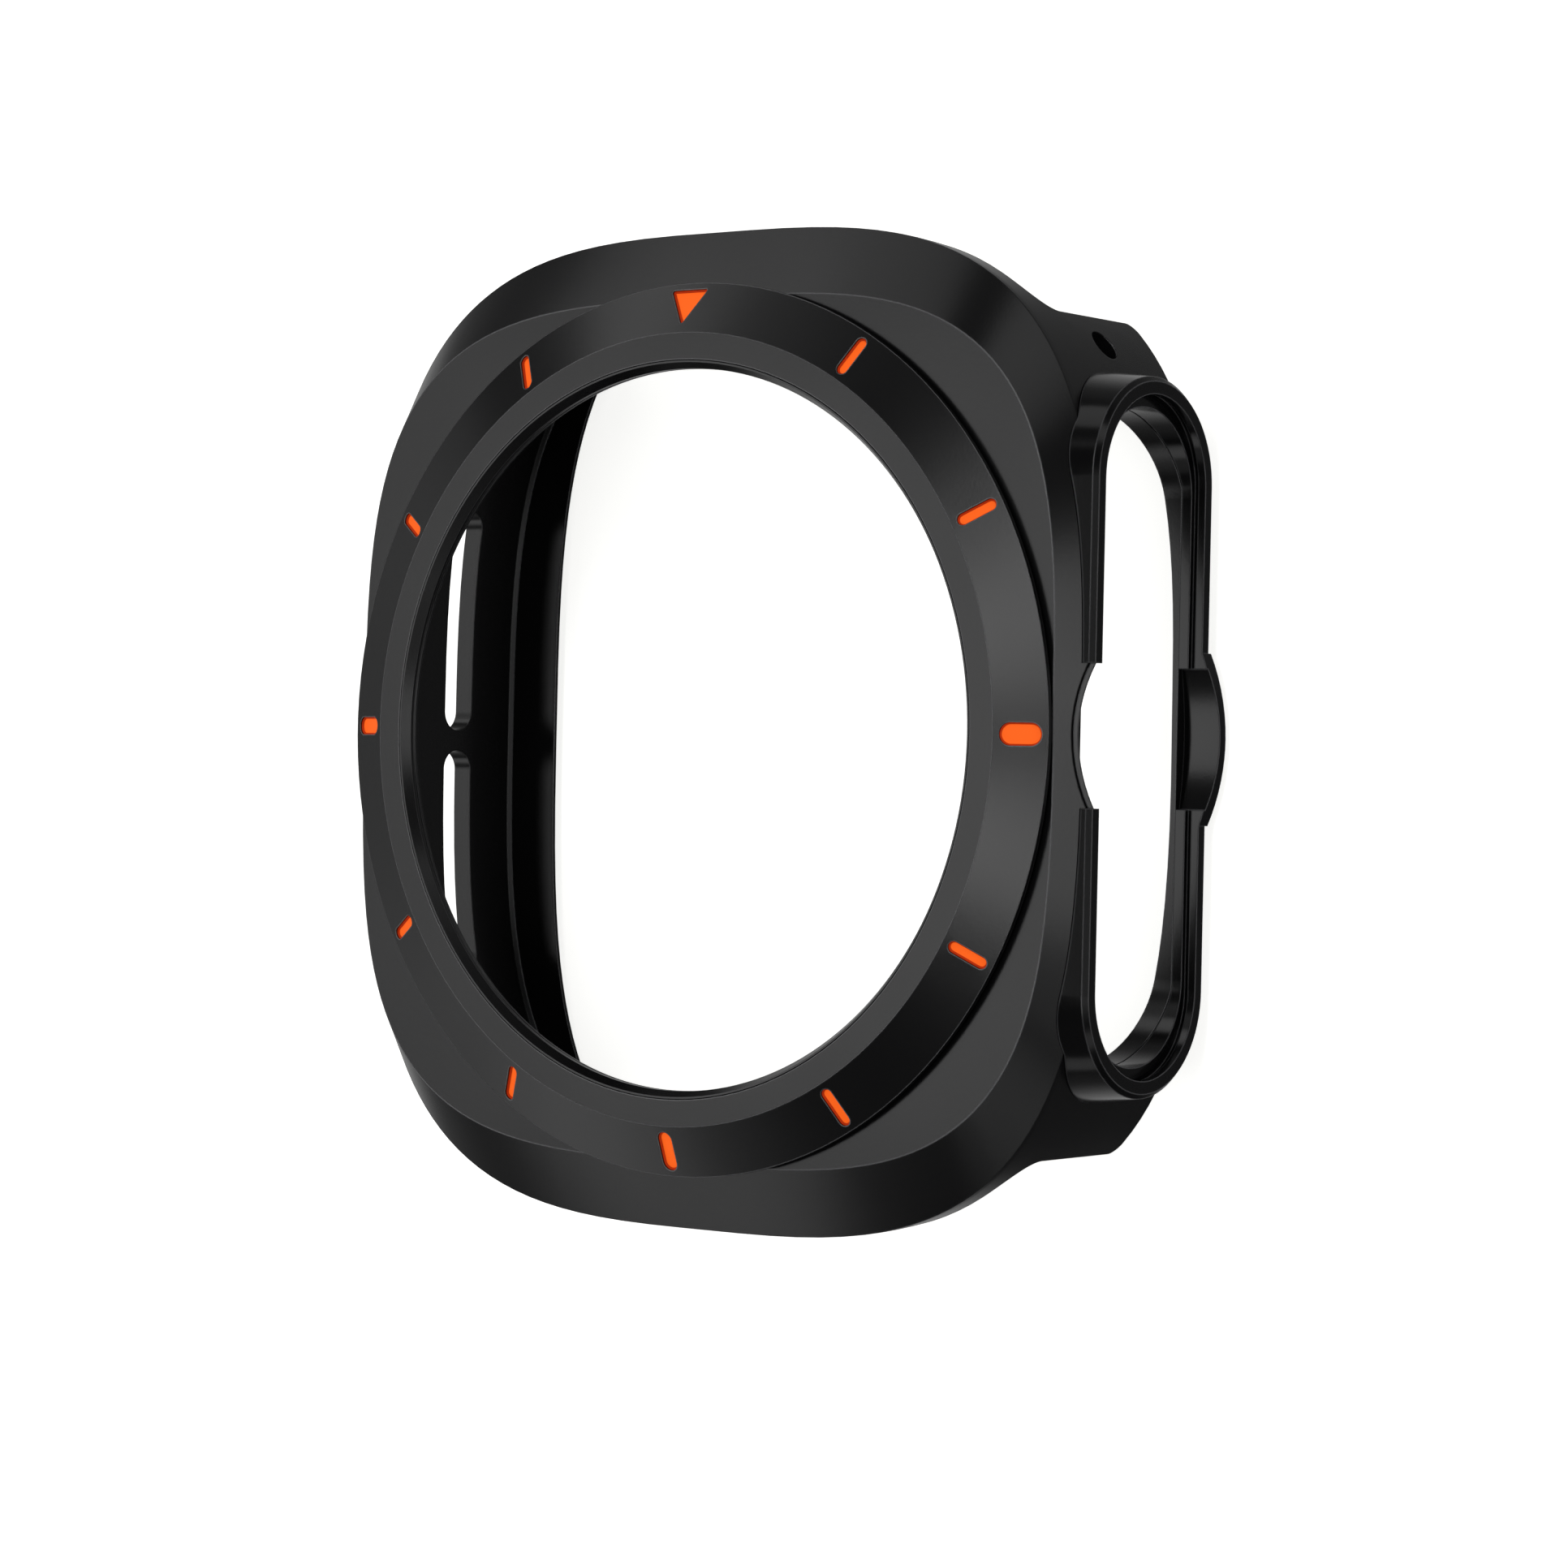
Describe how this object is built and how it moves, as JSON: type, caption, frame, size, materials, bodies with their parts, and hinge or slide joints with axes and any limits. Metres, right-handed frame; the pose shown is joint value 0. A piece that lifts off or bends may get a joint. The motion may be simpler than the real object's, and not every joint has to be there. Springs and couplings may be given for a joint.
{
  "type": "smartwatch protective case",
  "caption": "Thin clip-on frame for a cushion-shaped smartwatch with a round dial bezel, inlaid hour marks, side catches and a raised racetrack guard round the side buttons.",
  "frame": {"origin": "centre of the dial opening at the front face of the bezel", "axes": "+Z out of the dial towards the wearer, +Y to twelve o'clock, +X to the crown side at three o'clock"},
  "size_m": [0.0521, 0.055, 0.0148],
  "materials": {
    "frame_plastic": "fine matte",
    "bezel_plastic": "fine matte",
    "guard_plastic": "gloss",
    "mark_paint": "satin"
  },
  "bodies": {
    "root": {"case_frame": "frame_plastic", "bezel_ring": "bezel_plastic", "button_guard": "guard_plastic", "mark_12_triangle": "mark_paint", "mark_01_bar": "mark_paint", "mark_02_bar": "mark_paint", "mark_03_bar": "mark_paint", "mark_04_bar": "mark_paint", "mark_05_bar": "mark_paint", "mark_06_bar": "mark_paint", "mark_07_bar": "mark_paint", "mark_08_bar": "mark_paint", "mark_09_bar": "mark_paint", "mark_10_bar": "mark_paint", "mark_11_bar": "mark_paint"}
  },
  "joints": []
}
